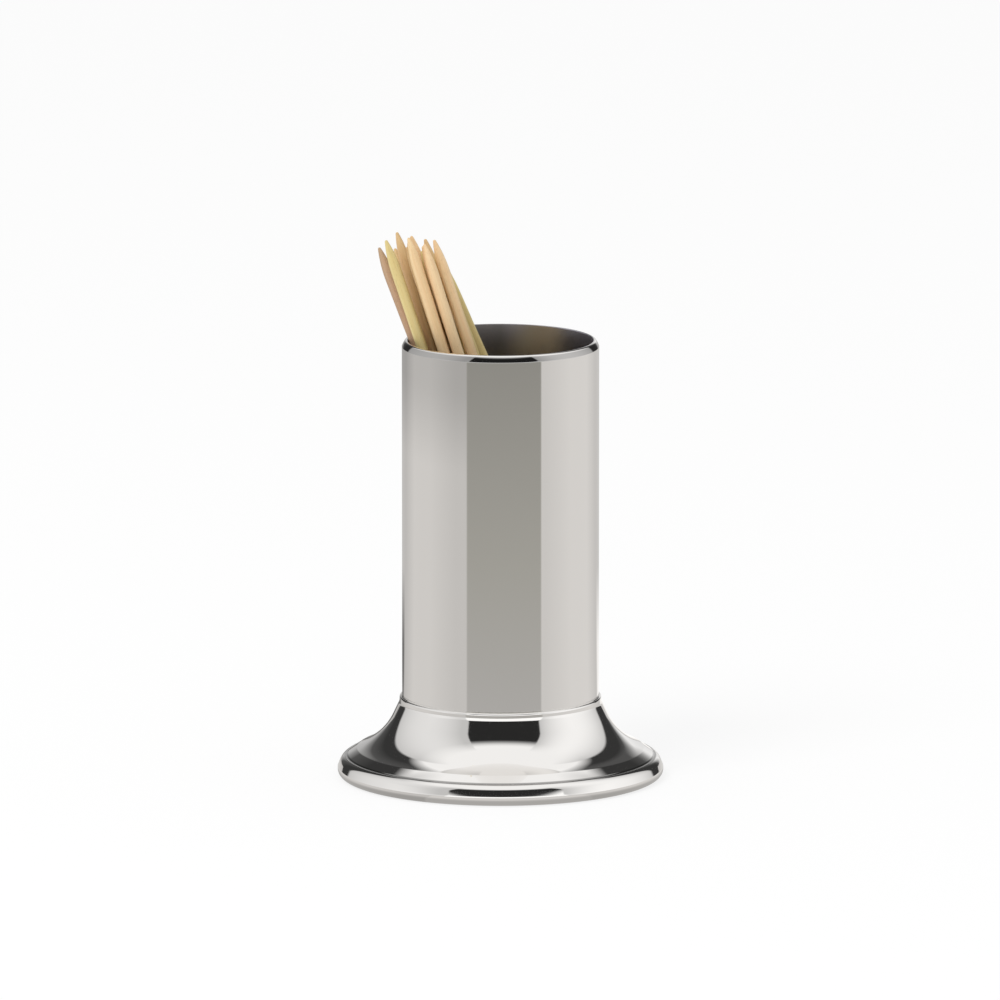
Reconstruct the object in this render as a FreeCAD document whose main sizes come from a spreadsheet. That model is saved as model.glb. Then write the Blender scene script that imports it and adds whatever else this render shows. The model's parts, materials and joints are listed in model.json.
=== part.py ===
import FreeCAD, Part
import enum
import math
import os
import re
import Sketcher

# Table toothpick holder: a straight polished tube brazed into a spun trumpet foot.
# A raised floor pressed into the tube lets the picks stand proud of the lip.
# Frame: Z up, origin on the table under the middle of the foot, picks leaning to -X.

# Driving dimensions, millimetres and degrees: name, value, what it measures
SIZES = (
    ("total_height", "80", "table to the top of the lip"),
    ("tube_radius", "17.8", "outside of the tube"),
    ("tube_wall", "1.05", "wall of the tube"),
    ("tube_foot_height", "10", "table to the tube's lower end, inside the foot"),
    ("lip_round", "2.6", "radius of the lip's outer edge"),
    ("lip_crease", "14", "angle by which the lip leans in where it starts"),
    ("lip_break", "0.15", "bevel that breaks the lip's inner edge"),
    ("seat_gap", "0.02", "gap at the tube's two press seats"),
    ("foot_radius", "29.5", "outside of the foot"),
    ("foot_sheet", "0.8", "sheet of the foot"),
    ("foot_roll", "1.94", "radius of the foot's rolled edge"),
    ("foot_return", "2.2", "reach of the flat band inside the roll's middle"),
    ("neck_height", "14.8", "table to the neck's top edge, where it is brazed to the tube"),
    ("neck_edge", "0.45", "width of the neck's top edge around the tube"),
    ("neck_bevel", "0.3", "bevel that breaks the neck's outer top edge"),
    ("knee_fillet", "12", "radius between the cone and the skirt of the foot"),
    ("knee_reach_share", "0.28", "knee's place along the foot's overhang"),
    ("knee_height_share", "0.477", "knee's place along the neck's height"),
    ("floor_height", "37.4", "table to the top of the raised floor"),
    ("floor_edge", "0.8", "bevel where the floor turns down into its skirt"),
    ("floor_sheet", "0.8", "sheet of the raised floor"),
    ("floor_skirt", "6", "straight height of the floor's skirt"),
    ("pick_length", "65", "toothpick, point to point"),
    ("pick_radius", "1", "toothpick, middle"),
    ("pick_point", "0.3", "radius of the toothpick's blunt points"),
    ("pick_taper", "8", "length of each tapered end"),
    ("pick_gap", "0.12", "gap between neighbouring toothpicks"),
)

# Rows of toothpicks from the front (-Y) to the back. Each row stands in a plane of its
# own: place from the middle row, lean as a share of the bore's diagonal, the first
# pick's place as a share of the bore to its left, and the others' steps along the row.
ROW_SHARES = (
    (-2, 0.389, 0.720, (0, 1.12)),
    (-1, 0.413, 0.949, (0, 1.75, 2.83, 3.90)),
    (0, 0.478, 1.000, (0, 2.27, 3.30, 4.32)),
    (1, 0.394, 0.831, (0, 1.08, 2.12)),
    (2, 0.553, 0.339, (0, -1.04, -2.12, -3.16)),
    (3, 0.488, 0.912, (0, 1.06, 2.11)),
)
# How far neighbouring rows spread apart for each unit of height
ROW_FAN_SHARE = 0.012
# Cut length of each toothpick in that order, as a share of the nominal length
LENGTH_SHARES = (
    0.994, 0.975,
    0.984, 0.977, 0.967, 0.985,
    0.970, 0.973, 0.960, 0.955,
    0.988, 0.977, 0.968,
    0.942, 0.939, 0.958, 0.972,
    0.971, 0.960, 0.946,
)
PICK_SIDES = 10

doc = FreeCAD.newDocument("ToothpickHolder")


def make_sizes():
    """Spreadsheet of the driving dimensions: name, value under its alias, meaning."""
    sheet = doc.addObject("Spreadsheet::Sheet", "Sizes")
    for row, (name, value, meaning) in enumerate(SIZES, start=1):
        sheet.set(f"A{row}", name)
        sheet.set(f"B{row}", value)
        sheet.setAlias(f"B{row}", name)
        sheet.set(f"C{row}", meaning)
    doc.recompute()
    return sheet


sizes = make_sizes()


def size(name):
    """Value of one driving dimension."""
    return float(sizes.get(name))


def formula(text):
    """The same sum with each size's name pointing at its cell."""
    names = {name for name, _, _ in SIZES}
    return re.sub(r"[a-z_]+", lambda word: "Sizes." + word[0] if word[0] in names else word[0], text)


def worth(text):
    """Value of a sum of sizes."""
    result = sizes.evalExpression(formula(text))
    return float(getattr(result, "Value", result))


def point(across, up):
    return FreeCAD.Vector(across, up, 0)


# Places on a piece of outline, in the sketch's own count
Spot = enum.IntEnum("Spot", "START END CENTRE")


class HalfSection:
    """Closed outline on a body's XZ plane, X across and Z up, revolved about Z."""

    def __init__(self, name):
        self.body = doc.addObject("PartDesign::Body", name)
        self.body.Label = name
        self.sketch = self.body.newObject("Sketcher::SketchObject", name + "_outline")
        plane = next(f for f in self.body.Origin.OriginFeatures if f.Role == "XZ_Plane")
        self.sketch.AttachmentSupport = [(plane, "")]
        self.sketch.MapMode = "FlatFace"

    def line(self, start, end):
        return self.sketch.addGeometry(Part.LineSegment(start, end))

    def arc(self, centre, radius, first, last):
        """Arc run counter-clockwise between two angles in degrees."""
        circle = Part.Circle(centre, FreeCAD.Vector(0, 0, 1), radius)
        return self.sketch.addGeometry(
            Part.ArcOfCircle(circle, math.radians(first), math.radians(last)))

    def add(self, *rule):
        return self.sketch.addConstraint(Sketcher.Constraint(*rule))

    def bind(self, *rule, to):
        """A rule whose value follows a sum of sizes."""
        self.sketch.setExpression(f"Constraints[{self.add(*rule, worth(to))}]", formula(to))

    def place(self, spot, across=None, up=None):
        """Hold one point of the outline at sums of sizes."""
        if across is not None:
            self.bind("DistanceX", -1, Spot.START, *spot, to=across)
        if up is not None:
            self.bind("DistanceY", -1, Spot.START, *spot, to=up)

    def meet(self, *pairs):
        for first, second in pairs:
            self.add("Coincident", *first, *second)

    def smooth(self, *pairs):
        for first, second in pairs:
            self.add("Tangent", *first, *second)

    def revolve(self):
        turn = self.body.newObject("PartDesign::Revolution", self.body.Name + "_turned")
        turn.Profile = self.sketch
        turn.ReferenceAxis = (self.sketch, ["V_Axis"])
        turn.Angle = 360
        self.sketch.Visibility = False
        return self.body


def make_tube():
    """Straight tube whose lip leans in and is rounded outside, with a bevelled inner edge."""
    section = HalfSection("tube_body")
    start, end, centre = Spot
    outside, inside = "tube_radius", "tube_radius - tube_wall"
    lip_middle = "tube_radius - lip_round * cos(lip_crease)"
    top = "tube_radius - tube_wall + lip_break"

    radius, crease = size("lip_round"), size("lip_crease")
    turn = math.degrees(math.acos((worth(top) - worth(lip_middle)) / radius))
    middle = point(worth(lip_middle), size("total_height") - radius * math.sin(math.radians(turn)))
    crease_height = middle.y + radius * math.sin(math.radians(crease))
    foot, bevel_foot = size("tube_foot_height"), size("total_height") - size("lip_break")

    base = section.line(point(worth(inside), foot), point(worth(outside), foot))
    outer = section.line(point(worth(outside), foot), point(worth(outside), crease_height))
    lip = section.arc(middle, radius, crease, turn)
    bevel = section.line(point(worth(top), size("total_height")), point(worth(inside), bevel_foot))
    inner = section.line(point(worth(inside), bevel_foot), point(worth(inside), foot))

    section.meet(((base, end), (outer, start)), ((outer, end), (lip, start)),
                 ((lip, end), (bevel, start)), ((bevel, end), (inner, start)),
                 ((inner, end), (base, start)))
    section.add("Horizontal", base)
    section.add("Vertical", outer)
    section.add("Vertical", inner)
    section.bind("Radius", lip, to="lip_round")
    section.place((base, start), across=inside, up="tube_foot_height")
    section.place((outer, end), across=outside)
    section.place((lip, centre), across=lip_middle)
    section.place((lip, end), across=top, up="total_height")
    section.place((bevel, end), up="total_height - lip_break")
    return section.revolve()


def fillet(corner, before, after, radius):
    """Centre and tangent length of a fillet between two runs, given by their angles."""
    half = math.radians(after - before) / 2
    run = radius * math.tan(half)
    back = point(-math.cos(math.radians(before)), -math.sin(math.radians(before)))
    side = point(-math.sin(math.radians(before)), math.cos(math.radians(before)))
    return corner + back * run + side * radius, run


def along(angle, length):
    """Step of a given length at an angle in degrees from the X axis."""
    return point(length * math.cos(math.radians(angle)), length * math.sin(math.radians(angle)))


def make_foot():
    """Spun trumpet foot: neck edge, cone, knee and skirt in sheet, its rim rolled under."""
    section = HalfSection("trumpet_foot")
    start, end, centre = Spot
    bore = "tube_radius + seat_gap"
    neck = "tube_radius + seat_gap + neck_edge"
    knee_across = f"{neck} + knee_reach_share * (foot_radius - ({neck}))"
    knee_up = "neck_height * knee_height_share"
    roll_across = "foot_radius - foot_roll"
    sheet, roll = size("foot_sheet"), size("foot_roll")

    # Corners of the outer outline, and the angles of the runs between them
    corner = point(worth(neck), size("neck_height"))
    knee = point(worth(knee_across), worth(knee_up))
    hub = point(worth(roll_across), roll)
    cone = math.degrees(math.atan2(knee.y - corner.y, knee.x - corner.x))
    reach = hub - knee
    skirt = math.degrees(math.atan2(reach.y, reach.x) + math.asin(roll / reach.Length))
    knee_hub, knee_run = fillet(knee, cone, skirt, size("knee_fillet"))
    skirt_end = hub + along(skirt + 90, roll)
    toe_bevel = "foot_roll * tan(22.5)"
    toe = point(hub.x + worth(toe_bevel), 0)

    # Outer side from the neck's top edge down to the table
    inner_top = point(worth(bore), corner.y)
    rim_end, cone_start = corner - along(0, size("neck_bevel")), corner + along(cone, size("neck_bevel"))
    cone_end = knee - along(cone, knee_run)
    skirt_start = knee + along(skirt, knee_run)
    rim = section.line(inner_top, rim_end)
    edge = section.line(rim_end, cone_start)
    cone_line = section.line(cone_start, cone_end)
    knee_arc = section.arc(knee_hub, size("knee_fillet"), cone + 270, skirt + 270)
    skirt_line = section.line(skirt_start, skirt_end)
    roll_arc = section.arc(hub, roll, 0, skirt + 90)
    side = section.line(point(hub.x + roll, hub.y), point(hub.x + roll, roll - worth(toe_bevel)))
    toe_line = section.line(point(hub.x + roll, roll - worth(toe_bevel)), toe)

    # Flat band on the table and the edge of the sheet
    band_in = hub.x - size("foot_return")
    roll_in = worth("foot_radius - foot_roll + foot_sheet")
    band = section.line(toe, point(band_in, 0))
    cut = section.line(point(band_in, 0), point(band_in, sheet))
    band_top = section.line(point(band_in, sheet), point(roll_in, sheet))

    # Inner side back up to the neck, one sheet inside the outer one, with plain corners
    skirt_near, cone_near = skirt_start + along(skirt - 90, sheet), cone_end + along(cone - 90, sheet)
    skirt_foot = skirt_near + along(skirt, (roll_in - skirt_near.x) / math.cos(math.radians(skirt)))
    half_turn = math.radians(skirt - cone) / 2
    knee_in = knee + along((skirt + cone) / 2 - 90, sheet / math.cos(half_turn))
    bore_start = cone_near - along(cone, (cone_near.x - worth(bore)) / math.cos(math.radians(cone)))
    rise = section.line(point(roll_in, sheet), skirt_foot)
    skirt_under = section.line(skirt_foot, knee_in)
    cone_under = section.line(knee_in, bore_start)
    bore_line = section.line(bore_start, inner_top)

    section.smooth(((cone_line, end), (knee_arc, start)), ((knee_arc, end), (skirt_line, start)),
                   ((skirt_line, end), (roll_arc, end)), ((roll_arc, start), (side, start)))
    section.meet(((rim, end), (edge, start)), ((edge, end), (cone_line, start)),
                 ((side, end), (toe_line, start)), ((toe_line, end), (band, start)),
                 ((band, end), (cut, start)), ((cut, end), (band_top, start)),
                 ((band_top, end), (rise, start)), ((rise, end), (skirt_under, start)),
                 ((skirt_under, end), (cone_under, start)), ((cone_under, end), (bore_line, start)),
                 ((bore_line, end), (rim, start)))
    for upright in (side, bore_line, cut, rise):
        section.add("Vertical", upright)
    for level in (rim, band, band_top):
        section.add("Horizontal", level)
    for under, over in ((skirt_under, skirt_line), (cone_under, cone_line)):
        section.add("Parallel", under, over)
        section.bind("Distance", under, start, over, to="foot_sheet")

    # The corner and the knee are points that the straight runs pass through
    corner_point = section.sketch.addGeometry(Part.Point(corner), True)
    knee_point = section.sketch.addGeometry(Part.Point(knee), True)
    section.add("PointOnObject", corner_point, start, cone_line)
    section.add("PointOnObject", corner_point, start, rim)
    section.add("PointOnObject", knee_point, start, cone_line)
    section.add("PointOnObject", knee_point, start, skirt_line)
    section.place((corner_point, start), across=neck, up="neck_height")
    section.place((knee_point, start), across=knee_across, up=knee_up)
    section.place((roll_arc, centre), across=roll_across, up="foot_roll")
    section.add("PointOnObject", toe_line, end, -1)
    section.place((toe_line, start), up=f"foot_roll - {toe_bevel}")
    section.place((toe_line, end), across=f"foot_radius - foot_roll + {toe_bevel}")
    section.place((band, end), across="foot_radius - foot_roll - foot_return")
    section.place((band_top, start), up="foot_sheet")
    section.place((rise, start), across="foot_radius - foot_roll + foot_sheet")
    section.place((bore_line, end), across=bore)
    section.bind("Radius", roll_arc, to="foot_roll")
    for shoulder in ((rim, end), (cone_line, start)):
        section.bind("Distance", *shoulder, corner_point, start, to="neck_bevel")
    section.bind("Radius", knee_arc, to="knee_fillet")
    return section.revolve()


def make_floor():
    """Pressed floor: a flat disc with a bevelled turn, pushed into the tube skirt down."""
    section = HalfSection("raised_floor")
    start, end, _ = Spot
    outside = "tube_radius - tube_wall - seat_gap"
    inside = "tube_radius - tube_wall - seat_gap - floor_sheet"
    skirt_foot = "floor_height - floor_edge - floor_skirt"
    spots = (
        (None, "floor_height"),
        (f"{outside} - floor_edge", "floor_height"),
        (outside, "floor_height - floor_edge"),
        (outside, skirt_foot),
        (inside, skirt_foot),
        (inside, "floor_height - floor_sheet"),
        (None, "floor_height - floor_sheet"),
    )
    corners = [point(worth(across) if across else 0, worth(up)) for across, up in spots]
    runs = [section.line(*pair) for pair in zip(corners, corners[1:] + corners[:1])]
    section.meet(*(((run, end), (after, start)) for run, after in zip(runs, runs[1:] + runs[:1])))
    for run, (across, up) in zip(runs, spots):
        section.place((run, start), across=across, up=up)
        if across is None:
            section.add("PointOnObject", run, start, -2)
    return section.revolve()


def pick_lines():
    """Foot point, just clear of the floor, and upward direction of every toothpick, row by row.

    Picks of one row are parallel and one row stands behind the other, so each pick can be
    drawn along its own line past all the others.
    """
    bore = worth("tube_radius - tube_wall")
    depth = worth("total_height - floor_height")
    rise = worth("total_height - floor_height - pick_point - pick_gap")
    pitch = worth("2 * pick_radius + pick_gap")
    lines = []
    for row, lean_share, first_share, steps in ROW_SHARES:
        spread = row * ROW_FAN_SHARE
        back = row * pitch + spread * depth
        slope = lean_share * 2 * bore / depth
        stretch = math.sqrt(1 + slope ** 2)
        room = bore - size("pick_radius") * stretch - size("pick_gap")
        first = -first_share * math.sqrt(room ** 2 - back ** 2)
        up = FreeCAD.Vector(-slope, spread, 1).normalize()
        for step in steps:
            rim = FreeCAD.Vector(first + step * pitch * stretch, back, size("total_height"))
            lines.append((rim - up * (rise / up.z), up))
    return lines


def make_pick(name, length_share, foot, up):
    """Toothpick turned to many flats, its ends tapered by a long chamfer, laid along its line."""
    body = doc.addObject("PartDesign::Body", name)
    body.Label = name
    shank = body.newObject("PartDesign::AdditivePrism", name + "_shank")
    shank.Polygon = PICK_SIDES
    shank.Circumradius = size("pick_radius")
    shank.setExpression("Circumradius", formula("pick_radius"))
    shank.setExpression("Height", formula(f"{length_share} * pick_length"))
    doc.recompute()
    ends = [f"Face{i}" for i, face in enumerate(shank.Shape.Faces, start=1)
            if abs(face.normalAt(0, 0).z) > 0.5]
    taper = body.newObject("PartDesign::Chamfer", name + "_tapers")
    taper.Base = (shank, ends)
    taper.ChamferType = "Two distances"
    taper.setExpression("Size", formula("pick_taper"))
    taper.setExpression("Size2", formula(f"(pick_radius - pick_point) * cos(180 / {PICK_SIDES})"))
    shank.Visibility = False
    body.Placement = FreeCAD.Placement(foot, FreeCAD.Rotation(FreeCAD.Vector(0, 0, 1), up))
    return body


def make_picks():
    """The bundle, one body for each toothpick."""
    return [make_pick(f"toothpick_{number:02d}", share, foot, up)
            for number, (share, (foot, up)) in enumerate(zip(LENGTH_SHARES, pick_lines()), start=1)]


def check(parts):
    """Stop if anything in the document failed or a piece is not one sound solid."""
    for item in doc.Objects:
        if {"Invalid", "Error"} & set(item.State):
            raise RuntimeError(f"{item.Label} failed: {item.State}")
    for body in parts:
        if body.Shape.isNull() or not body.Shape.isValid() or len(body.Shape.Solids) != 1:
            raise RuntimeError(f"{body.Label} is not one valid solid")


def main():
    parts = [make_tube(), make_foot(), make_floor()] + make_picks()
    doc.recompute()
    check(parts)
    os.makedirs("parts", exist_ok=True)
    for body in parts:
        body.Shape.exportStep(f"parts/{body.Label}.step")
        box = body.Shape.BoundBox
        print(f"{body.Label}: {body.Shape.Volume:.1f} mm3, z {box.ZMin:.2f} to {box.ZMax:.2f}")


main()
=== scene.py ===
import json
import math

import bpy
import numpy as np
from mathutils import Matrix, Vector


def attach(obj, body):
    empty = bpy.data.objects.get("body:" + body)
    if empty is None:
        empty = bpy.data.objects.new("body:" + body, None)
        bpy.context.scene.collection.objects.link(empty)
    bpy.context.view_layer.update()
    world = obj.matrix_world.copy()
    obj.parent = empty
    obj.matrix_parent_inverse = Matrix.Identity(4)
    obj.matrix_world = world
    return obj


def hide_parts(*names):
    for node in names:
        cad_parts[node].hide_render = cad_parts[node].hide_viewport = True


# Toothpick holder, dressed: a mirror-polished tube in a spun trumpet foot, and twenty turned
# birch toothpicks. Sizes are in millimetres and become metres in the mesh.
# Frame: Z up, origin on the table under the middle of the foot, picks leaning to -X.

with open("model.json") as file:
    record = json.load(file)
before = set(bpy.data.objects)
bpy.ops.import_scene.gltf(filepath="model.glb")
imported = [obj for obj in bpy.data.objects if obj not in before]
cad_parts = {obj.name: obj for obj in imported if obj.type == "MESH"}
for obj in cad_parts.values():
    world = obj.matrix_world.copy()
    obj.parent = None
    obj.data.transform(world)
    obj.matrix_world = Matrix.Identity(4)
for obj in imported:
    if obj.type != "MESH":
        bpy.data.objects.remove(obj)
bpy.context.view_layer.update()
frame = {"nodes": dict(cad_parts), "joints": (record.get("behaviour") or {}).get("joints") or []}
MM = 0.001

TOTAL_HEIGHT = 80.0
TUBE_RADIUS = 17.8
TUBE_WALL = 1.05
TUBE_FOOT_HEIGHT = 10.0          # table to the tube's lower end
SEAT_GAP = 0.02
BREAK = 0.05                     # radius that breaks every plain corner
LIP_SIDE = 4.6                   # radius of the lip's long outer side
LIP_CREASE, LIP_BEND = 20.5, 34.0  # tilt of the lip where it leaves the tube, and at its bend
LIP_BREAK = 0.15                 # radius of the lip's inner edge

FOOT_RADIUS = 29.5
FOOT_SHEET = 0.8
FOOT_ROLL = 1.94
FOOT_RETURN = 2.2                # how far the flat band runs inwards from the roll's middle
NECK_HEIGHT = 14.8
NECK_EDGE = 0.45
NECK_BEAD = 0.40                 # round that the neck's edge is finished to
NECK_CORNER = 13.7               # table to the corner under the neck's hollow
NECK_HOLLOW = 1.9                # radius of that hollow
BRAZE = 0.20                     # radius of the braze between the tube and the neck's edge
SEAM_DEPTH = 0.20                # how far the braze goes down behind the neck's edge
KNEE_REACH_SHARE = 0.28          # knee's place along the foot's overhang
KNEE_HEIGHT_SHARE = 0.477        # knee's place along the neck's height
KNEE_FILLET = 12.1               # radius between the cone and the skirt
SHOULDER = 26.0                  # where the skirt bends down towards the pressed line
SHOULDER_RISE = 0.22             # how far the skirt stands over its chord there
SHOULDER_ROUND = 1.2             # radius of that bend
SHOULDER_DROP = 0.09             # how far it lies under its chord at the pressed line
GROOVE_REACH = 27.85             # line pressed where the skirt meets the rolled edge
GROOVE_HALF, GROOVE_DEEP = 0.22, 0.07  # half the line's width, and its depth
ROLL_START = 28.1                # where the skirt turns into the rolled edge
FLANK, FLANK_RUN = 22.0, 0.9     # tilt and length of the roll's flat flank
LOWER_ROLL = 0.8                 # radius of the round below the flank

FLOOR_HEIGHT = 37.4
FLOOR_EDGE = 0.8                 # bevelled turn between the raised floor and its skirt
FLOOR_ROUND = 0.6
FLOOR_SHEET = 0.8
FLOOR_SKIRT = 6.0

PICK_RADIUS = 1.0
PICK_POINT = 0.3                 # radius of the rounded points
PICK_TAPER = 6.5                 # length of each taper
PICK_SWELL = 2.2                 # power of the taper's curve
PICK_FULLNESS = 0.985            # share of the full radius that the ripple is added to
PICK_RIPPLE = (0.002, 0.007)     # least and most height of one wave of the ripple
PICK_SIDES = 28

LARGE_ARC = 0.5                  # an arc of a larger radius gets the finer steps
FINE_TURN, COARSE_TURN = 3, 22   # degrees between the points of an arc


def rounded(corners, closed=True):
    """Outline through corners (across, up, radius), each corner replaced by its arc.

    The arc starts and ends where the two straight runs leave the corner by
    radius x tan(half the turn), and its points are spread evenly over the turn.
    """
    spots = np.array([c[:2] for c in corners], float)
    radii = [c[2] for c in corners]
    count = len(spots)
    points = []
    for i in range(count):
        if not closed and i in (0, count - 1):
            points.append(spots[i:i + 1])
            continue
        before, here, after = spots[i - 1], spots[i], spots[(i + 1) % count]
        into = (here - before) / np.linalg.norm(here - before)
        out = (after - here) / np.linalg.norm(after - here)
        turn = math.atan2(into[0] * out[1] - into[1] * out[0], into @ out)
        radius = radii[i]
        start = here - into * radius * math.tan(abs(turn) / 2)
        side = np.array([-into[1], into[0]]) * math.copysign(1, turn)
        step = FINE_TURN if radius > LARGE_ARC else COARSE_TURN
        steps = max(3, int(math.degrees(abs(turn)) / step) + 2)
        angles = np.linspace(0, abs(turn), steps)[:, None]
        points.append(start + radius * (np.sin(angles) * into + (1 - np.cos(angles)) * side))
    return np.vstack(points)


def spread(points, longest):
    """The same outline with every run cut into equal steps no longer than `longest`."""
    rows = []
    for a, b in zip(points, np.roll(points, -1, axis=0)):
        steps = max(1, int(np.linalg.norm(b - a) / longest))
        rows.append(a + (b - a) * (np.arange(steps) / steps)[:, None])
    return np.vstack(rows)


def tube_outline():
    """Tube wall: outer side, crease, lip of a long and a short arc, broken edge, bore, lower end.

    The long arc turns from LIP_CREASE to LIP_BEND; the short one goes on to level, and its
    radius closes the wall: wall - break = long (cos crease - cos bend) + short cos bend.
    """
    inside = TUBE_RADIUS - TUBE_WALL
    crease_angle, bend = math.radians(LIP_CREASE), math.radians(LIP_BEND)
    long_share = LIP_SIDE * (math.cos(crease_angle) - math.cos(bend))
    short = (TUBE_WALL - LIP_BREAK - long_share) / math.cos(bend)
    hub = np.array([inside + LIP_BREAK, TOTAL_HEIGHT - short])
    turns = np.linspace(bend, math.pi / 2, 14)
    top = hub + short * np.column_stack([np.cos(turns), np.sin(turns)])
    turns = np.linspace(crease_angle, bend, 14)
    side = np.column_stack([np.cos(turns), np.sin(turns)]) * LIP_SIDE
    lip = np.vstack([side - side[-1] + top[0], top[1:]])
    edge_angles = np.linspace(math.pi / 2, math.pi, 7)[1:]
    edge = np.column_stack([inside + LIP_BREAK + LIP_BREAK * np.cos(edge_angles),
                            TOTAL_HEIGHT - LIP_BREAK + LIP_BREAK * np.sin(edge_angles)])
    crease = lip[0]
    below = np.array([[TUBE_RADIUS, crease[1] - 0.06]])
    above = lip[0] + (lip[1] - lip[0]) * 0.3
    foot = rounded([(inside, TOTAL_HEIGHT / 2, 0), (inside, TUBE_FOOT_HEIGHT, BREAK),
                    (TUBE_RADIUS, TUBE_FOOT_HEIGHT, BREAK), (TUBE_RADIUS, TOTAL_HEIGHT / 2, 0)],
                   closed=False)
    return spread(np.vstack([foot, below, crease, above, lip[1:], edge]), 4.0)


def foot_outline():
    """Spun foot: brazed seam, neck edge, hollow, cone, knee, skirt, roll, flat band, inner side.

    The skirt stands a little proud up to the shoulder and falls more steeply from there to the
    pressed line. The roll is two arcs with a short flat flank between them, where the roller
    pressed the sheet. Its normal turns from the skirt's down to FLANK degrees, runs straight
    for FLANK_RUN, and turns on to level. The first radius closes the sum of the three spans.
    """
    bore = TUBE_RADIUS + SEAT_GAP
    neck = bore + NECK_EDGE
    knee = np.array([neck + KNEE_REACH_SHARE * (FOOT_RADIUS - neck),
                     NECK_HEIGHT * KNEE_HEIGHT_SHARE])
    hub = np.array([FOOT_RADIUS - FOOT_ROLL, FOOT_ROLL])
    reach = hub - knee
    skirt = math.atan2(reach[1], reach[0]) + math.asin(FOOT_ROLL / np.linalg.norm(reach))
    inner = FOOT_ROLL - FOOT_SHEET
    inner_side = hub[0] + inner

    def under(angle, radius):
        return np.array([math.sin(angle), -math.cos(angle)]) * radius

    cone = math.atan2(knee[1] - NECK_CORNER, knee[0] - neck)
    knee_in = knee + under((skirt + cone) / 2, FOOT_SHEET / math.cos((skirt - cone) / 2))
    roll_in = knee_in[1] + (inner_side - knee_in[0]) * math.tan(skirt)
    bore_in = knee_in[1] + (bore - knee_in[0]) * math.tan(cone)

    def on_skirt(across, deep=0.0):
        return (across, knee[1] + (across - knee[0]) * math.tan(skirt) - deep)

    start = np.array(on_skirt(ROLL_START, SHOULDER_DROP))
    flank = math.radians(FLANK)
    reach_left = FOOT_RADIUS - start[0] - FLANK_RUN * math.sin(flank)
    first = (reach_left - LOWER_ROLL * (1 - math.cos(flank))) \
        / (math.cos(flank) - math.cos(math.pi / 2 + skirt))
    turns = np.linspace(math.pi / 2 + skirt, flank, 24)
    upper = start + first * (np.column_stack([np.cos(turns), np.sin(turns)])
                             - [math.cos(turns[0]), math.sin(turns[0])])
    turns = np.linspace(flank, 0, 10)
    lower = upper[-1] + FLANK_RUN * np.array([math.sin(flank), -math.cos(flank)]) \
        + LOWER_ROLL * (np.column_stack([np.cos(turns), np.sin(turns)])
                        - [math.cos(flank), math.sin(flank)])
    seam_foot = NECK_HEIGHT - SEAM_DEPTH
    braze_top = NECK_HEIGHT + BRAZE + 0.02
    line_start, line_end = GROOVE_REACH - GROOVE_HALF, GROOVE_REACH + GROOVE_HALF
    outer = rounded([
        (bore, seam_foot, 0), (bore, braze_top, 0.01), (bore + 0.03, braze_top, 0.01),
        (bore + 0.03, seam_foot, BRAZE), (bore + 0.10, seam_foot, 0.05),
        (bore + 0.12, NECK_HEIGHT, 0.06), (neck, NECK_HEIGHT, NECK_BEAD),
        (neck, NECK_CORNER, NECK_HOLLOW), (*knee, KNEE_FILLET),
        (*on_skirt(SHOULDER, -SHOULDER_RISE), SHOULDER_ROUND),
        (*on_skirt(line_start, SHOULDER_DROP), 0.3),
        (*on_skirt(GROOVE_REACH, SHOULDER_DROP + GROOVE_DEEP), 0.1),
        (*on_skirt(line_end, SHOULDER_DROP), 0.3), (*start, 0)], closed=False)
    roll_height = lower[-1][1]
    inside = rounded([
        (FOOT_RADIUS, roll_height * 0.9, 0), (FOOT_RADIUS, 0, roll_height * 0.85),
        (hub[0] - FOOT_RETURN, 0, BREAK), (hub[0] - FOOT_RETURN, FOOT_SHEET, BREAK),
        (inner_side, FOOT_SHEET, inner * 0.9), (inner_side, roll_in, inner * 0.8),
        (*knee_in, KNEE_FILLET + FOOT_SHEET), (bore, bore_in, 0.2),
        (bore, NECK_HEIGHT - 0.4, 0)], closed=False)
    return spread(np.vstack([outer, upper[1:], lower, inside]), 1.5)


def floor_outline():
    """Pressed floor from its middle over the bevelled turn, down the skirt and back underneath."""
    outside = TUBE_RADIUS - TUBE_WALL - SEAT_GAP
    foot = FLOOR_HEIGHT - FLOOR_EDGE - FLOOR_SKIRT
    corners = [
        (0, FLOOR_HEIGHT, 0), (outside - FLOOR_EDGE / 2, FLOOR_HEIGHT, FLOOR_ROUND),
        (outside, FLOOR_HEIGHT - FLOOR_EDGE, FLOOR_ROUND), (outside, foot, BREAK),
        (outside - FLOOR_SHEET, foot, BREAK),
        (outside - FLOOR_SHEET, FLOOR_HEIGHT - FLOOR_SHEET, FLOOR_ROUND / 2),
        (0, FLOOR_HEIGHT - FLOOR_SHEET, 0),
    ]
    return rounded(corners, closed=False)


def smooth_mesh(name, spots, faces):
    """Mesh object at the origin from points in millimetres and its faces, shaded smooth."""
    mesh = bpy.data.meshes.new(name)
    mesh.from_pydata((spots * MM).tolist(), [], faces)
    mesh.polygons.foreach_set("use_smooth", np.ones(len(mesh.polygons), bool))
    mesh.update()
    piece = bpy.data.objects.new(name, mesh)
    bpy.context.scene.collection.objects.link(piece)
    return piece


def grid_faces(rows, columns, wrap_rows):
    """Quads of a grid whose columns go round; its rows go round too when wrap_rows is set."""
    row = np.arange(rows if wrap_rows else rows - 1)[:, None]
    column = np.arange(columns)[None, :]
    down, right = (row + 1) % rows, (column + 1) % columns
    quads = np.stack([row * columns + column, row * columns + right,
                      down * columns + right, down * columns + column], axis=-1)
    return quads.reshape(-1, 4).tolist()


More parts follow.
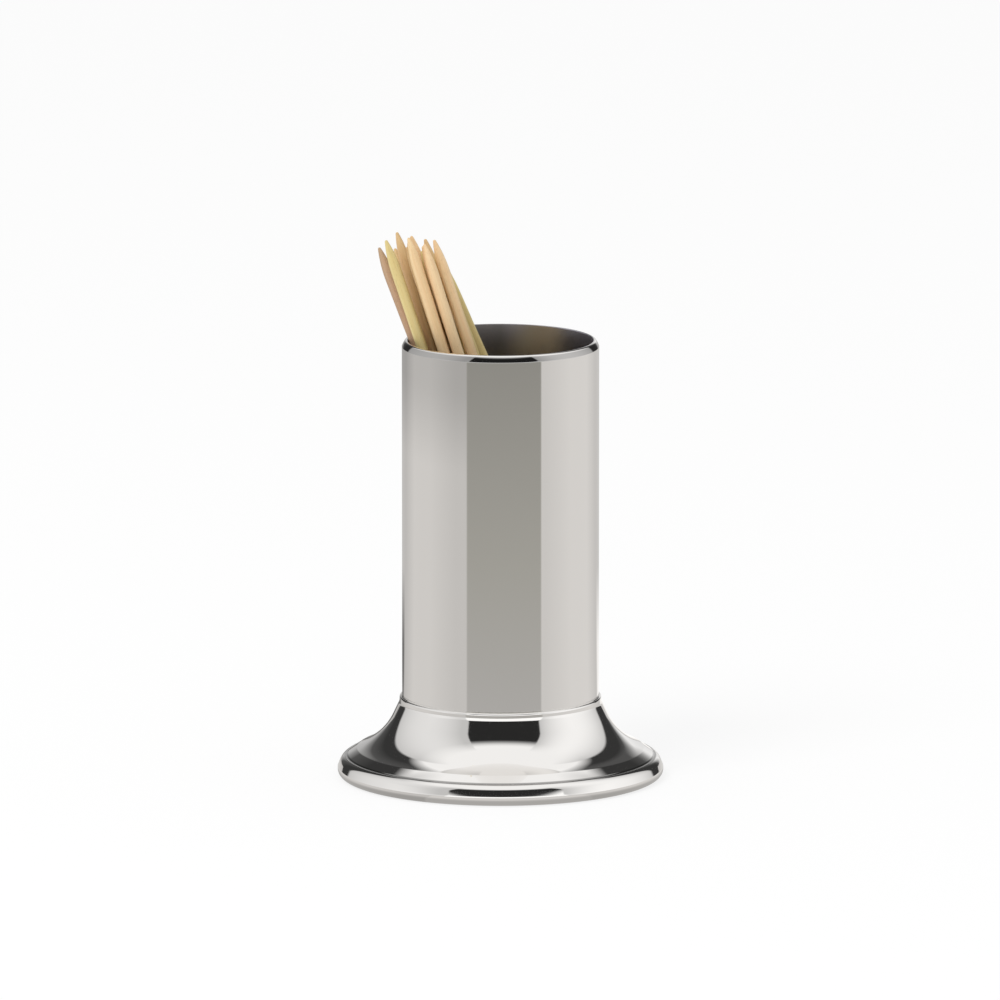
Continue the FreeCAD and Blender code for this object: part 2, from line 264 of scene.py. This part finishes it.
def capped_faces(rows, sides):
    """Quads of an open grid, and the triangles that close its two poles, whose points come last."""
    first, last, end = rows * sides, rows * sides + 1, (rows - 1) * sides
    faces = grid_faces(rows, sides, False)
    faces += [[first, (j + 1) % sides, j] for j in range(sides)]
    faces += [[last, end + j, end + (j + 1) % sides] for j in range(sides)]
    return faces


def turned(name, outline, sides):
    """Closed ring turned about Z: point (i, j) is outline point i at angle 2 pi j / sides."""
    angle = np.linspace(0, 2 * math.pi, sides, endpoint=False)
    across, up = outline[:, :1], outline[:, 1:]
    spots = np.stack([across * np.cos(angle), across * np.sin(angle),
                      np.broadcast_to(up, (len(outline), sides))], axis=-1)
    faces = grid_faces(len(outline), sides, True)
    area = np.sum(outline[:, 0] * np.roll(outline[:, 1], -1)
                  - np.roll(outline[:, 0], -1) * outline[:, 1])
    if area > 0:
        faces = [face[::-1] for face in faces]
    return smooth_mesh(name, spots.reshape(-1, 3), faces)


def capped(name, outline, sides):
    """Solid turned about Z from an outline that starts and ends on the axis, with closed poles."""
    angle = np.linspace(0, 2 * math.pi, sides, endpoint=False)
    middle = outline[1:-1]
    spots = np.stack([middle[:, :1] * np.cos(angle), middle[:, :1] * np.sin(angle),
                      np.broadcast_to(middle[:, 1:], (len(middle), sides))], axis=-1).reshape(-1, 3)
    spots = np.vstack([spots, [0, 0, outline[0, 1]], [0, 0, outline[-1, 1]]])
    faces = capped_faces(len(middle), sides)
    if outline[0, 1] > outline[-1, 1]:
        faces = [face[::-1] for face in faces]
    return smooth_mesh(name, spots, faces)


def toothpick(name, foot, tip, seed, bow):
    """Turned toothpick: round points, swelling tapers, a faintly uneven and bowed shank.

    Radius at a distance s from the nearer end is
    point + (full - point) x (1 - (1 - s/taper)^swell), times the fullness plus a slow ripple;
    the points are half rounds of the point radius.
    The middle line is the chord plus bow x sin(pi s / length) towards the lean.
    """
    along = tip - foot
    length = np.linalg.norm(along)
    along = along / length
    side = np.cross(along, [0, 1, 0])
    side /= np.linalg.norm(side)
    back = np.cross(along, side)
    chance = np.random.default_rng(seed)

    cap = np.linspace(0, math.pi / 2, 5)[1:]
    taper = np.linspace(0, 1, 14)[1:] ** 1.2 * (PICK_TAPER - PICK_POINT) + PICK_POINT
    near = np.concatenate([PICK_POINT * (1 - np.cos(cap)), taper])
    shank = np.linspace(PICK_TAPER, length - PICK_TAPER, 26)[1:-1]
    stations = np.concatenate([near, shank, length - near[::-1]])
    from_end = np.minimum(stations, length - stations)
    share = np.clip((from_end - PICK_POINT) / (PICK_TAPER - PICK_POINT), 0, 1)
    full = PICK_POINT + (PICK_RADIUS - PICK_POINT) * (1 - (1 - share) ** PICK_SWELL)
    round_end = np.sqrt(np.clip(PICK_POINT ** 2 - (PICK_POINT - from_end) ** 2, 0, None))
    radius = np.where(from_end < PICK_POINT, round_end, full)

    angle = np.linspace(0, 2 * math.pi, PICK_SIDES, endpoint=False)
    ripple = sum(chance.uniform(*PICK_RIPPLE)
                 * np.sin(stations[:, None] * chance.uniform(0.15, 0.9) + k * angle
                          + chance.uniform(0, 6))
                 for k in (0, 1, 2, 3))
    radius = radius[:, None] * (PICK_FULLNESS + ripple)
    across = radius * np.cos(angle)
    deep = radius * np.sin(angle)
    bent = (bow * np.sin(math.pi * stations / length))[:, None, None] * side
    spots = (foot + stations[:, None, None] * along + bent + across[..., None] * side
             + deep[..., None] * back).reshape(-1, 3)
    spots = np.vstack([spots, foot, foot + along * length])
    faces = capped_faces(len(stations), PICK_SIDES)
    if side @ np.cross(back, along) < 0:
        faces = [face[::-1] for face in faces]
    piece = smooth_mesh(name, spots, faces)

    # Place in the stick: across, deep and along it, in millimetres, shifted by a whim of its own
    shift = chance.uniform(-40, 40, 3)
    inside = np.stack([across, deep, np.broadcast_to(stations[:, None], across.shape)], -1)
    inside = np.vstack([inside.reshape(-1, 3), [0, 0, 0], [0, 0, length]])
    grain = piece.data.attributes.new("grain", "FLOAT_VECTOR", "POINT")
    grain.data.foreach_set("vector", (inside + shift * [1, 1, 0]).ravel())
    return piece


class Sheet:
    """A node tree being filled in."""

    def __init__(self, tree):
        self.tree = tree
        tree.nodes.clear()

    def add(self, kind, settings=None, sockets=None):
        """One node: its type, its settings, then its sockets' values or links."""
        node = self.tree.nodes.new(kind)
        for name, value in (settings or {}).items():
            setattr(node, name, value)
        for name, value in (sockets or {}).items():
            if isinstance(value, Value):
                self.tree.links.new(value.socket, node.inputs[name])
            else:
                node.inputs[name].default_value = value
        return node

    def value(self, kind, output, settings=None, sockets=None):
        return Value(self, self.add(kind, settings, sockets).outputs[output])

    def mix(self, share, first, second):
        """Colour between two colours."""
        return self.value("ShaderNodeMix", 2, {"data_type": "RGBA"},
                          {0: share, 6: first, 7: second})

    def noise(self, place, scale, detail=2.0, roughness=0.5):
        return self.value("ShaderNodeTexNoise", 0, None, {
            "Vector": place, "Scale": scale, "Detail": detail, "Roughness": roughness})


class Value:
    """A number in a node tree; an expression on values adds its Math nodes."""

    def __init__(self, sheet, socket):
        self.sheet, self.socket = sheet, socket

    def maths(self, operation, *terms, **settings):
        return self.sheet.value("ShaderNodeMath", 0, {"operation": operation, **settings},
                                dict(enumerate(terms)))

    def __add__(self, other):
        return self.maths("ADD", self, other)

    def __sub__(self, other):
        return self.maths("SUBTRACT", self, other)

    def __mul__(self, other):
        return self.maths("MULTIPLY", self, other)

    def __truediv__(self, other):
        return self.maths("DIVIDE", self, other)

    def __rsub__(self, other):
        return self.maths("SUBTRACT", other, self)

    def __pow__(self, other):
        return self.maths("POWER", self, other)

    def __neg__(self):
        return self.maths("MULTIPLY", self, -1.0)

    __radd__ = __add__
    __rmul__ = __mul__

    def held(self):
        """The value held between 0 and 1."""
        return self.maths("ADD", self, 0.0, use_clamp=True)

    def step(self, edge, blur):
        """0 well below the edge and 1 well above it, with a ramp of the given width."""
        return ((self - (edge - blur / 2)) * (1 / blur)).held()

    def between(self, low, high, blur):
        return self.step(low, blur) * (1 - self.step(high, blur))


def colour(red, green, blue):
    """Shader colour from the sRGB levels 0 to 255 that it should show."""
    def light(level):
        share = level / 255
        return share / 12.92 if share <= 0.04045 else ((share + 0.055) / 1.055) ** 2.4
    return (light(red), light(green), light(blue), 1)


def new_finish(name):
    material = bpy.data.materials.new(name)
    material.use_nodes = True
    sheet = Sheet(material.node_tree)
    output = sheet.add("ShaderNodeOutputMaterial")
    return material, sheet, output


def split(sheet, place):
    parts = sheet.add("ShaderNodeSeparateXYZ", None, {0: place})
    return [Value(sheet, parts.outputs[i]) for i in range(3)]


STEEL_COLOUR = (0.850, 0.833, 0.812, 1)
# Bore colours: painted shade and painted light on the tube's inner wall
BORE_SHADED, BORE_LIT = (0.21, 0.20, 0.20, 1), (0.53, 0.52, 0.58, 1)
PRESSED_DARK, PRESSED_LIGHT = (0.50, 0.48, 0.45, 1), (0.58, 0.56, 0.53, 1)
TUBE_RINGS, FOOT_RINGS = 900.0, 5000.0   # buffing rings to the metre of height, about


def dimmed(full, share):
    return tuple(c * share for c in full[:3]) + (1,)


def polished_steel(name, lines_along_height, painted_shade_bands, bore_reach):
    """Mirror-polished stainless steel with the faint rings that buffing on a lathe leaves.

    painted_shade_bands lists (measure, low, high, blur, share): where the height or the reach from
    the axis lies between low and high, in millimetres, the steel's colour is darkened to that
    share, a painted shade. Inside bore_reach the steel is left as drawn, grey and less smooth, with
    painted shade darkest on the left and painted light to the right, where the light falls.
    """
    material, sheet, output = new_finish(name)
    place = sheet.value("ShaderNodeTexCoord", "Object")
    x, y, z = split(sheet, place)
    reach = (x * x + y * y) ** 0.5
    cloud = sheet.noise(place, 45.0, 3.0)
    rings = sheet.noise(sheet.value("ShaderNodeCombineXYZ", 0, None, {
        0: x * 20.0, 1: y * 20.0, 2: z * lines_along_height}), 1.0, 4.0, 0.6)
    smears = sheet.noise(place, 160.0, 4.0, 0.7)
    wear = 0.6 * cloud + 0.4 * smears
    tone = sheet.mix((wear - 0.35).held(), STEEL_COLOUR, dimmed(STEEL_COLOUR, 0.97))
    # Painted shade: darker bands of colour at the given heights or reaches
    for measure, low, high, blur, share in painted_shade_bands:
        where = {"height": z, "reach": reach}[measure].between(low * MM, high * MM, blur * MM)
        tone = sheet.mix(where, tone, dimmed(STEEL_COLOUR, share))
    bore = 1 - reach.step(bore_reach * MM, 0.1 * MM)
    # Painted light and shade in the bore: dark on the left, lighter to the right where the light
    # from the left falls
    bore_painted_shade_and_light = sheet.mix(x.step(4.5 * MM, 9.0 * MM), BORE_SHADED, BORE_LIT)
    tone = sheet.mix(bore, tone, bore_painted_shade_and_light)
    bump = sheet.value("ShaderNodeBump", 0, None,
                       {"Strength": 0.02, "Distance": 0.00002, "Height": rings})
    steel = sheet.add("ShaderNodeBsdfPrincipled", None, {
        "Base Color": tone, "Metallic": 1.0, "Roughness": 0.035 + 0.03 * wear + 0.26 * bore,
        "Normal": bump})
    sheet.tree.links.new(steel.outputs[0], output.inputs["Surface"])
    return material


def satin_steel(name):
    """Pressed sheet left as it came from the press, fine-lined from the middle outwards."""
    material, sheet, output = new_finish(name)
    place = sheet.value("ShaderNodeTexCoord", "Object")
    x, y, z = split(sheet, place)
    across = (x * x + y * y) ** 0.5
    lines = sheet.noise(sheet.value("ShaderNodeCombineXYZ", 0, None, {0: across, 1: z, 2: 0.0}),
                        9000.0, 2.0)
    cloud = sheet.noise(place, 120.0, 4.0)
    bump = sheet.value("ShaderNodeBump", 0, None,
                       {"Strength": 0.25, "Distance": 0.00003, "Height": lines})
    steel = sheet.add("ShaderNodeBsdfPrincipled", None, {
        "Base Color": sheet.mix(cloud, PRESSED_DARK, PRESSED_LIGHT), "Metallic": 1.0,
        "Roughness": 0.30 + 0.12 * cloud, "Normal": bump})
    sheet.tree.links.new(steel.outputs[0], output.inputs["Surface"])
    return material


def birch(name, pale, deep, blush):
    """Bare turned birch: long pale and deep fibres, a blush along them, and fine pores."""
    material, sheet, output = new_finish(name)
    place = sheet.value("ShaderNodeAttribute", "Vector", {"attribute_name": "grain"})
    x, y, z = split(sheet, place)

    def fibres(across_scale, along_scale, detail):
        return sheet.noise(sheet.value("ShaderNodeCombineXYZ", 0, None, {
            0: x * across_scale, 1: y * across_scale, 2: z * along_scale}), 1.0, detail, 0.6)

    broad = fibres(1.1, 0.035, 3.0)
    fine = fibres(5.5, 0.16, 4.0)
    pores = fibres(14.0, 1.1, 2.0).step(0.66, 0.08)
    tone = sheet.mix(broad.step(0.5, 0.45), pale, deep)
    tone = sheet.mix(0.55 * fine.step(0.55, 0.35), tone, deep)
    tone = sheet.mix(0.5 * fibres(0.7, 0.02, 2.0).step(0.55, 0.2), tone, blush)
    tone = sheet.mix(pores * 0.45, tone, dimmed(deep, 0.45))
    bump = sheet.value("ShaderNodeBump", 0, None,
                       {"Strength": 0.5, "Distance": 0.00004, "Height": fine - 0.6 * pores})
    wood = sheet.add("ShaderNodeBsdfPrincipled", None, {
        "Base Color": tone, "Roughness": 0.52 + 0.18 * fine, "Normal": bump,
        "Specular IOR Level": 0.35})
    sheet.tree.links.new(wood.outputs[0], output.inputs["Surface"])
    return material


PLAIN_LEVEL = 0.80               # light of the room on everything but polished metal
LEFT_EDGE, RIGHT_EDGE = -39.8, 48.5  # bearings, in degrees, where the side screens begin
BACK_EDGE = 137.0                # bearing where they end
FRONT_BLUR, BACK_BLUR = 1.5, 3.0  # softness of those edges
LAMP_TOP = 29.5                  # rise, in degrees, at which the front lamp ends
FRONT_GAP_TOP, BACK_GAP_TOP = 54.0, 50.0  # rises at which the unlit parts end
CEILING_EDGE = 59.0              # rise at which the ceiling begins
LAMP_LEVEL, FRONT_GAP_LEVEL, BACK_GAP_LEVEL, CEILING_LEVEL = 1.16, 0.025, 0.040, 1.03
SCREEN_MIDDLE, SCREEN_HALF = 93.0, 45  # bearing of the screens' bright middle, and half its width
MIRROR_APEX = 0.0092             # metres from the tube's axis to where its mirror lines meet


def bearings(sheet, across, away):
    """Bearing of a direction or spot from the camera's side, in degrees, right positive."""
    return across.maths("ARCTAN2", across, -away) * (180 / math.pi)


def studio_world():
    """White room for the camera and for soft light; metal sees its lamps, screens and gaps.

    Screens stand left and right, a strip lamp lies low in front with the unlit side of the
    room above it, the room is unlit at the back but for a glow low down, brighter on the
    right, and a wide white ceiling covers all.
    """
    world = bpy.data.worlds.new("studio")
    bpy.context.scene.world = world
    world.use_nodes = True
    sheet = Sheet(world.node_tree)
    toward = sheet.value("ShaderNodeTexCoord", "Generated")
    x, y, z = split(sheet, toward)
    bearing = bearings(sheet, x, y)
    rise = z.maths("ARCSINE", z) * (180 / math.pi)

    front = bearing.between(LEFT_EDGE, RIGHT_EDGE, FRONT_BLUR)
    back = 1 - bearing.between(-BACK_EDGE, BACK_EDGE, BACK_BLUR)
    sides = (1 - front) * (1 - back)
    right = (x / (x * x + y * y) ** 0.5).step(0.0, 0.5)
    front_light = LAMP_LEVEL * (1 - rise.step(LAMP_TOP, 2.0)) + FRONT_GAP_LEVEL \
        + 1.02 * rise.step(FRONT_GAP_TOP, 11.0)
    aside = bearing.maths("ABSOLUTE", bearing)
    off_middle = (aside - SCREEN_MIDDLE) * (1 / SCREEN_HALF)
    hump = (1 - off_middle * off_middle).held()
    low_front = (1 - rise.step(24.0, 8.0)) * (1 - aside.step(80.0, 30.0))
    side_light = 0.62 + (0.25 + 0.19 * right) * hump + 0.16 * low_front
    left_glow = 0.055 * aside.step(156.0, 12.0) + 0.33 * aside.step(165.0, 8.0)
    right_glow = 0.05 * aside.step(155.0, 6.0) \
        + 0.85 * aside.step(161.5, 9.0) * (1 - rise.step(18.0, 14.0))
    back_light = BACK_GAP_LEVEL + (1 - right) * left_glow + right * right_glow \
        + 0.98 * rise.step(BACK_GAP_TOP, 8.0)
    walls = front * front_light + sides * side_light + back * back_light
    dome = rise.step(CEILING_EDGE, 14.0)
    light = walls * (1 - dome) + CEILING_LEVEL * dome

    path = sheet.add("ShaderNodeLightPath")
    glossy = Value(sheet, path.outputs["Is Glossy Ray"])
    camera = Value(sheet, path.outputs["Is Camera Ray"])
    level = glossy * light + (1 - glossy) * (camera + (1 - camera) * PLAIN_LEVEL)
    background = sheet.add("ShaderNodeBackground", None, {"Color": (1, 1, 1, 1), "Strength": level})
    output = sheet.add("ShaderNodeOutputWorld")
    sheet.tree.links.new(background.outputs[0], output.inputs["Surface"])
    world.cycles.sampling_method = "NONE"


FLOOR_REACH, FLOOR_CORNERS, FLOOR_DROP = 4000, 96, 0.05  # millimetres, number, millimetres
FLOOR_BRIGHTEST = 1.25           # above every level of the floor's glow
CAMERA_WHITE = 0.75              # share of plain white in the floor that the camera sees
GLOW_NEAR, GLOW_FAR = (1, 0.982, 0.962, 1), (1, 0.985, 0.910, 1)


def studio_floor():
    """White floor that keeps a soft shadow; in the metal its front part is the shaded side."""
    angle = np.linspace(0, 2 * math.pi, FLOOR_CORNERS, endpoint=False)
    rim = np.column_stack([np.cos(angle), np.sin(angle), np.zeros(FLOOR_CORNERS)])
    piece = smooth_mesh("floor", rim * FLOOR_REACH - [0, 0, FLOOR_DROP],
                        [list(range(FLOOR_CORNERS))])
    material, sheet, output = new_finish("pale_floor")
    place = sheet.value("ShaderNodeTexCoord", "Object")
    x, y = split(sheet, place)[:2]
    bearing = bearings(sheet, x, y + MIRROR_APEX)
    distance = (x * x + y * y) ** 0.5
    front = bearing.between(LEFT_EDGE, RIGHT_EDGE, FRONT_BLUR)
    aside = bearing.maths("ABSOLUTE", bearing)
    right = (x / distance).step(0.0, 0.5)
    # Painted shadow in the floor that the metal sees: a shadow edge far off on the left
    left_far = (1 - right) * distance.step(0.385, 0.09)
    near = 1 - distance.step(0.070, 0.045)
    fading = 0.509 - 0.42 * distance
    shade = fading.maths("MAXIMUM", fading, 0.14) + 0.24 * near
    sides = 0.625 + 0.05 * right + 0.09 * aside.step(72.0, 36.0) - 0.17 * left_far \
        - 0.15 * aside.step(132.0, 24.0)
    behind = aside.step(150.0, 6.0) * (1 - distance.step(0.17, 0.08))
    behind_level = 0.16 + 0.16 * (1 - distance.step(0.075, 0.05)) + 0.80 * right
    light = front * shade + (1 - front) * ((1 - behind) * sides + behind * behind_level)
    # Painted contact shadow: the floor that the metal sees is darker right round the foot
    light = light * (0.62 + 0.38 * distance.step(0.0322, 0.004))
    path = sheet.add("ShaderNodeLightPath")
    tint = sheet.mix(front * distance.step(0.16, 0.16), GLOW_NEAR, GLOW_FAR)
    glow = sheet.add("ShaderNodeEmission", None, {
        "Color": sheet.mix(light * (1 / FLOOR_BRIGHTEST), (0, 0, 0, 1), tint),
        "Strength": FLOOR_BRIGHTEST})
    plain = sheet.add("ShaderNodeBsdfDiffuse", None, {"Color": (0.98, 0.98, 0.98, 1)})
    white = sheet.add("ShaderNodeEmission", None, {"Color": (1, 1, 1, 1), "Strength": 1.0})
    shown = sheet.add("ShaderNodeMixShader", None, {
        "Fac": CAMERA_WHITE * Value(sheet, path.outputs["Is Camera Ray"])})
    sheet.tree.links.new(plain.outputs[0], shown.inputs[1])
    sheet.tree.links.new(white.outputs[0], shown.inputs[2])
    join = sheet.add("ShaderNodeMixShader", None, {
        "Fac": Value(sheet, path.outputs["Is Glossy Ray"])})
    sheet.tree.links.new(shown.outputs[0], join.inputs[1])
    sheet.tree.links.new(glow.outputs[0], join.inputs[2])
    sheet.tree.links.new(join.outputs[0], output.inputs["Surface"])
    material.cycles.emission_sampling = "NONE"
    piece.data.materials.append(material)


def soft_lamp(name, spot, aim, width, power):
    lamp = bpy.data.lights.new(name, "AREA")
    lamp.shape, lamp.size, lamp.energy = "DISK", width, power
    holder = bpy.data.objects.new(name, lamp)
    holder.location = spot
    holder.rotation_euler = (Vector(aim) - Vector(spot)).to_track_quat("-Z", "Y").to_euler()
    holder.visible_glossy = False
    holder.visible_camera = False
    bpy.context.scene.collection.objects.link(holder)


KEY_SPOT, KEY_AIM = (-0.7, -0.9, 1.3), (0, 0, 0.06)
KEY_WIDTH, KEY_POWER = 0.9, 9.0
CAMERA_DISTANCE, CAMERA_HEIGHT = 2.70, 0.547
AIM_HEIGHT = 0.0506
SENSOR_WIDTH = 36
PIXELS_PER_MM, IMAGE_WIDTH = 5.535, 1000


def place_camera():
    """Long lens, slightly above the rim; the tube stands where it does in the picture."""
    spot, aim = Vector((0, -CAMERA_DISTANCE, CAMERA_HEIGHT)), Vector((0, 0, AIM_HEIGHT))
    lens = bpy.data.cameras.new("camera")
    lens.sensor_width = SENSOR_WIDTH
    lens.lens = SENSOR_WIDTH * PIXELS_PER_MM * (aim - spot).length / MM / IMAGE_WIDTH
    lens.shift_x = -0.5 / IMAGE_WIDTH
    lens.clip_end = 20
    camera = bpy.data.objects.new("camera", lens)
    camera.location = spot
    camera.rotation_euler = (aim - spot).to_track_quat("-Z", "Y").to_euler()
    bpy.context.scene.collection.objects.link(camera)
    bpy.context.scene.camera = camera


def dress(piece, material, body, node):
    piece.data.materials.append(material)
    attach(piece, body)
    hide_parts(node)


LIP_PAINTED_SHADE = ("height", 78.80, 79.74, 0.10, 0.54)   # painted shade on the outer side of the lip, darker than its reflection
GROOVE_PAINTED_SHADE = ("reach", 27.60, 28.25, 0.14, 0.42)   # painted shade in the pressed line of the foot
BORE_REACH, NO_BORE = TUBE_RADIUS - TUBE_WALL + 0.1, 1.0
tube_steel = polished_steel("tube_polish", TUBE_RINGS, [LIP_PAINTED_SHADE], BORE_REACH)
foot_steel = polished_steel("foot_polish", FOOT_RINGS, [GROOVE_PAINTED_SHADE], NO_BORE)
floor_steel = satin_steel("floor_satin")
dress(turned("polished_tube", tube_outline(), 256), tube_steel,
      "holder", "tube_body")
dress(turned("spun_foot", foot_outline(), 320), foot_steel,
      "holder", "trumpet_foot")
dress(capped("pressed_floor", floor_outline(), 128), floor_steel,
      "holder", "raised_floor")

# Each wood's pale and deep fibres and its blush
woods = {name: birch("birch_" + name, *(colour(*levels) for levels in tones)) for name, tones in {
    "bright": ((248, 226, 184), (226, 190, 140), (238, 200, 158)),
    "yellow": ((236, 222, 166), (212, 188, 124), (222, 208, 148)),
    "tan": ((236, 208, 160), (206, 172, 122), (224, 184, 138)),
    "dusky": ((208, 182, 150), (174, 144, 114), (192, 150, 122)),
}.items()}
# One wood for each toothpick, row by row from the front
WOOD_OF_PICK = (
    "bright", "bright",
    "yellow", "tan", "bright", "bright",
    "dusky", "tan", "yellow", "yellow",
    "tan", "bright", "tan",
    "yellow", "tan", "bright", "tan",
    "dusky", "tan", "yellow",
)
# Bow of the sticks that aren't straight, in millimetres towards the lean
BOW_OF_PICK = {3: -0.15, 4: 0.2, 11: 0.5, 12: -0.2, 15: 0.25, 17: 0.4, 19: -0.3}
lift_ways = {joint["child"]: np.array(joint["axis"], float) for joint in frame["joints"]}
for number, wood in enumerate(WOOD_OF_PICK, start=1):
    node = f"toothpick_{number:02d}"
    up = lift_ways[node + "_body"] / np.linalg.norm(lift_ways[node + "_body"])
    spots = np.array([v.co for v in frame["nodes"][node].data.vertices]) / MM
    heights = spots @ up
    middle = (spots.max(axis=0) + spots.min(axis=0)) / 2
    low, high = heights.min() - middle @ up, heights.max() - middle @ up
    dress(toothpick(f"pick_{number:02d}", middle + up * low, middle + up * high, number,
                    BOW_OF_PICK.get(number, 0.0)),
          woods[wood], node + "_body", node)

studio_world()
studio_floor()
soft_lamp("key_lamp", KEY_SPOT, KEY_AIM, KEY_WIDTH, KEY_POWER)
place_camera()
bpy.context.scene.view_settings.view_transform = "Standard"
